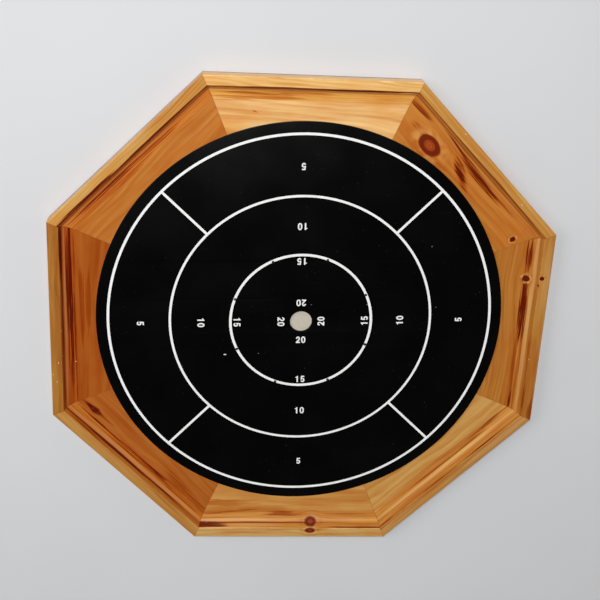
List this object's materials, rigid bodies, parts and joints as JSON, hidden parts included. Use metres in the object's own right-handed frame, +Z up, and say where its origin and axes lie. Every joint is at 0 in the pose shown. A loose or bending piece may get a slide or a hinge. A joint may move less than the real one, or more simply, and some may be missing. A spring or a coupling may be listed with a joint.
{
  "type": "crokinole board",
  "caption": "Octagonal pine board for a disc-flicking game: a round black target surface with scoring rings, a recessed centre, a ditch around it and raised rails.",
  "frame": {"origin": "under the middle of the frame, on the surface that the board lies on", "axes": "+Z up through the playing surface; X and Y square to opposite sides of the octagon"},
  "size_m": [0.685, 0.685, 0.025],
  "materials": {
    "varnished_pine": "glossy amber varnish over pine with knots and dark resin streaks",
    "black_playing_surface": "satin black painted hardboard with white scoring lines and numbers",
    "pale_bed_board": "smooth pale board",
    "brown_hardboard": "raw brown hardboard",
    "beech_biscuit": "pressed raw beech",
    "zinc_screw": "zinc plated steel"
  },
  "bodies": {
    "root": {"frame_moulding_east": "varnished_pine", "frame_moulding_northeast": "varnished_pine", "frame_moulding_north": "varnished_pine", "frame_moulding_northwest": "varnished_pine", "frame_moulding_west": "varnished_pine", "frame_moulding_southwest": "varnished_pine", "frame_moulding_south": "varnished_pine", "frame_moulding_southeast": "varnished_pine", "playing_disc": "black_playing_surface", "bed_panel": "pale_bed_board", "back_panel": "brown_hardboard", "mitre_biscuit_1": "beech_biscuit", "mitre_biscuit_2": "beech_biscuit", "mitre_biscuit_3": "beech_biscuit", "mitre_biscuit_4": "beech_biscuit", "mitre_biscuit_5": "beech_biscuit", "mitre_biscuit_6": "beech_biscuit", "mitre_biscuit_7": "beech_biscuit", "mitre_biscuit_8": "beech_biscuit", "back_screw_01": "zinc_screw", "back_screw_02": "zinc_screw", "back_screw_03": "zinc_screw", "back_screw_04": "zinc_screw", "back_screw_05": "zinc_screw", "back_screw_06": "zinc_screw", "back_screw_07": "zinc_screw", "back_screw_08": "zinc_screw", "back_screw_09": "zinc_screw", "back_screw_10": "zinc_screw", "back_screw_11": "zinc_screw", "back_screw_12": "zinc_screw", "back_screw_13": "zinc_screw", "back_screw_14": "zinc_screw", "back_screw_15": "zinc_screw", "back_screw_16": "zinc_screw"}
  },
  "joints": []
}
